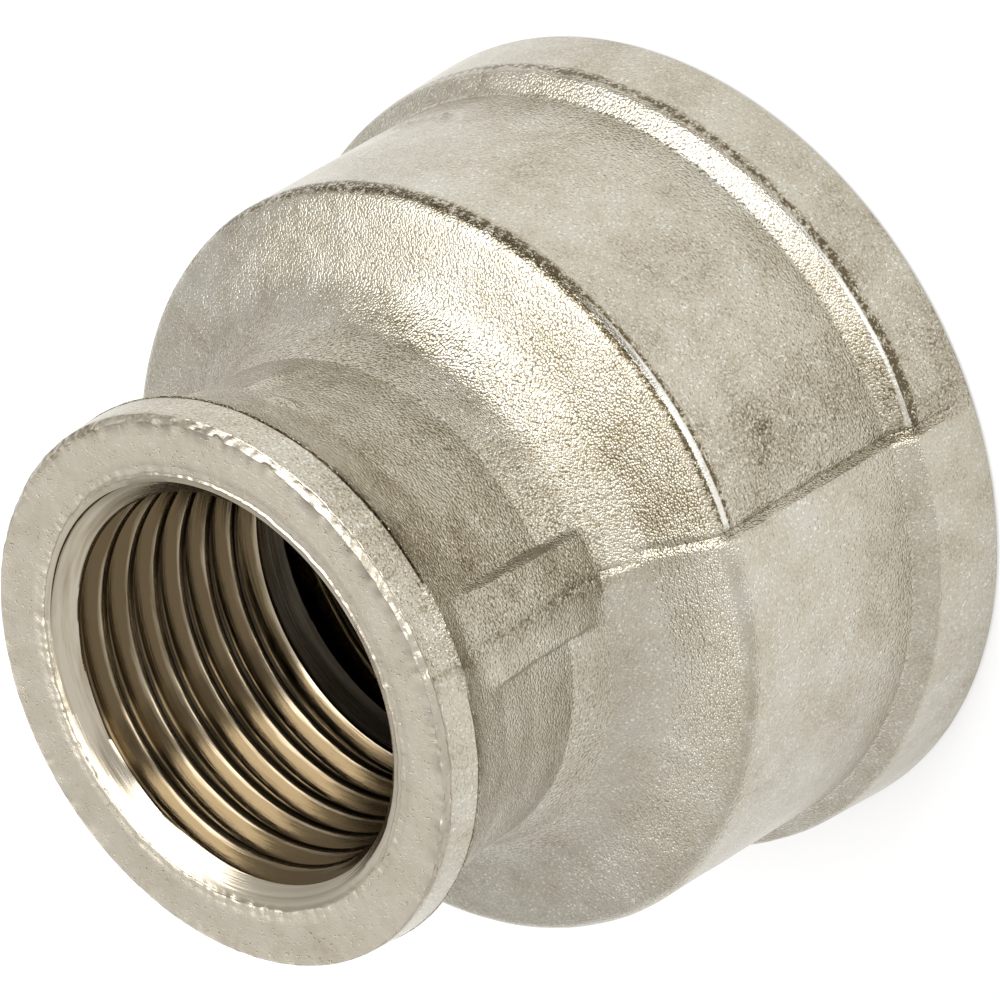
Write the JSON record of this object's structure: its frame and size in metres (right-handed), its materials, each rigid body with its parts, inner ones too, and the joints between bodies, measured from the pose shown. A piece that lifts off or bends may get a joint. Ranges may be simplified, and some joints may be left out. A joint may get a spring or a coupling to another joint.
{
  "type": "reducing coupling",
  "caption": "One-piece plated brass pipe coupling that joins two female parallel-threaded ends of different size.",
  "frame": {"origin": "centre of the large end face, which the part stands on", "axes": "+Z along the waterway axis from the large end to the small end, X in the forging's parting plane so the ribs stand on +X and -X"},
  "size_m": [0.0408, 0.0408, 0.0322],
  "materials": {
    "nickel_plate": "nickel-plated hot-forged brass, fine shot-blasted grain, turned and satin on the end faces and threads"
  },
  "bodies": {
    "root": {"coupling_body": "nickel_plate"}
  },
  "joints": []
}
